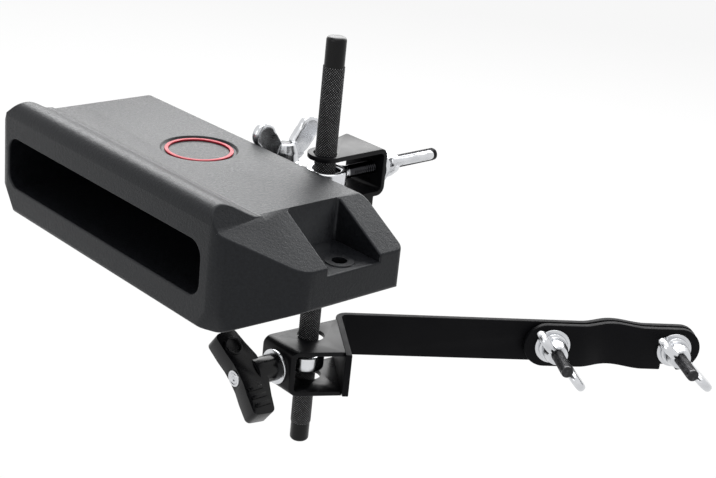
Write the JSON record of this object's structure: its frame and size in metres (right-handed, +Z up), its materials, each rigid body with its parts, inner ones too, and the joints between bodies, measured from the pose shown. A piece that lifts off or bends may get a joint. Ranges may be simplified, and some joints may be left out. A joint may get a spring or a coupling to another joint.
{
  "type": "woodblock",
  "caption": "Moulded percussion block with a sound slot, on a knurled rod with eye bolt brackets and a flat arm that clamps to a stand tube.",
  "frame": {"origin": "middle of the stand tube seat, on the front face of the arm", "axes": "+X from the rod towards the stand clamp, +Z up along the rod, -Y towards the wing nuts of the stand clamp"},
  "size_m": [0.3652, 0.2105, 0.208],
  "materials": {
    "block": "fine moulded texture, satin",
    "badge_red": "gloss",
    "knob_black": "satin moulding",
    "arm_black": "matte black coating",
    "bracket_black": "gloss black coating",
    "rod_black": "black, diamond knurled",
    "bolt_black": "black oxide",
    "bright_zinc": "bright plating"
  },
  "bodies": {
    "base": {"arm": "arm_black", "lower_bracket": "bracket_black", "clamp_bolt_inner": "bolt_black", "clamp_bolt_outer": "bolt_black", "lower_washer": "bright_zinc"},
    "plate": {"clamp_plate": "arm_black", "clamp_washer_inner": "bright_zinc", "clamp_washer_outer": "bright_zinc"},
    "clamp_nut_inner": {"clamp_wing_nut_inner": "bright_zinc"},
    "clamp_nut_outer": {"clamp_wing_nut_outer": "bright_zinc"},
    "knob": {"t_knob": "knob_black", "knob_insert": "bright_zinc"},
    "lower_eye": {"lower_eye_bolt": "bright_zinc"},
    "rod": {"rod": "rod_black"},
    "head": {"upper_bracket": "bracket_black", "upper_washer": "bright_zinc", "lug_washer": "bright_zinc"},
    "upper_nut": {"upper_wing_nut": "bright_zinc"},
    "upper_eye": {"upper_eye_bolt": "bright_zinc"},
    "block": {"block_body": "block", "badge_ring": "badge_red"},
    "lug_nut": {"lug_wing_nut": "bright_zinc"},
    "lug_bolt": {"lug_bolt": "bolt_black"}
  },
  "joints": [
    {"name": "plate_slide", "type": "slide", "parent": "base", "child": "plate", "axis": [0, -1, 0], "range_m": [0, 0.016]},
    {"name": "clamp_nut_inner_turn", "type": "hinge", "parent": "plate", "child": "clamp_nut_inner", "pos_m": [-0.03325, 0, 0], "axis": [0, -1, 0], "range_deg": [0, 4535.43]},
    {"name": "clamp_nut_outer_turn", "type": "hinge", "parent": "plate", "child": "clamp_nut_outer", "pos_m": [0.03325, 0, 0], "axis": [0, -1, 0], "range_deg": [0, 4535.43]},
    {"name": "knob_turn", "type": "hinge", "parent": "base", "child": "knob", "pos_m": [-0.1645, -0.026, 0], "axis": [-0.829, -0.5592, 0], "range_deg": [0, 360]},
    {"name": "lower_eye_slide", "type": "slide", "parent": "base", "child": "lower_eye", "axis": [0.829, 0.5592, 0], "range_m": [0, 0.00127]},
    {"name": "rod_slide", "type": "slide", "parent": "base", "child": "rod", "axis": [0, 0, 1], "range_m": [-0.025, 0.028]},
    {"name": "head_turn", "type": "hinge", "parent": "rod", "child": "head", "pos_m": [-0.1645, -0.026, 0], "axis": [0, 0, 1], "continuous": true},
    {"name": "upper_nut_turn", "type": "hinge", "parent": "head", "child": "upper_nut", "pos_m": [-0.1645, -0.026, 0.0947], "axis": [0.8181, 0.575, 0], "range_deg": [0, 360]},
    {"name": "upper_eye_slide", "type": "slide", "parent": "head", "child": "upper_eye", "axis": [-0.8181, -0.575, 0], "range_m": [0, 0.00127]},
    {"name": "block_turn", "type": "hinge", "parent": "head", "child": "block", "pos_m": [-0.17955, 0.0128, 0.0829], "axis": [0, 0, 1], "range_deg": [-60, 0.8]},
    {"name": "lug_nut_turn", "type": "hinge", "parent": "head", "child": "lug_nut", "pos_m": [-0.17955, 0.0128, 0.0829], "axis": [0, 0, 1], "range_deg": [0, 360]},
    {"name": "lug_bolt_slide", "type": "slide", "parent": "block", "child": "lug_bolt", "axis": [0, 0, -1], "range_m": [0, 0.00127]}
  ],
  "couplings": [
    {"joint": "clamp_nut_inner_turn", "follows": "plate_slide", "rad_per_m": 4947.4},
    {"joint": "clamp_nut_outer_turn", "follows": "plate_slide", "rad_per_m": 4947.4},
    {"joint": "lower_eye_slide", "follows": "knob_turn", "m_per_rad": 0.00020213},
    {"joint": "upper_eye_slide", "follows": "upper_nut_turn", "m_per_rad": 0.00020213},
    {"joint": "lug_bolt_slide", "follows": "lug_nut_turn", "m_per_rad": 0.00020213}
  ]
}
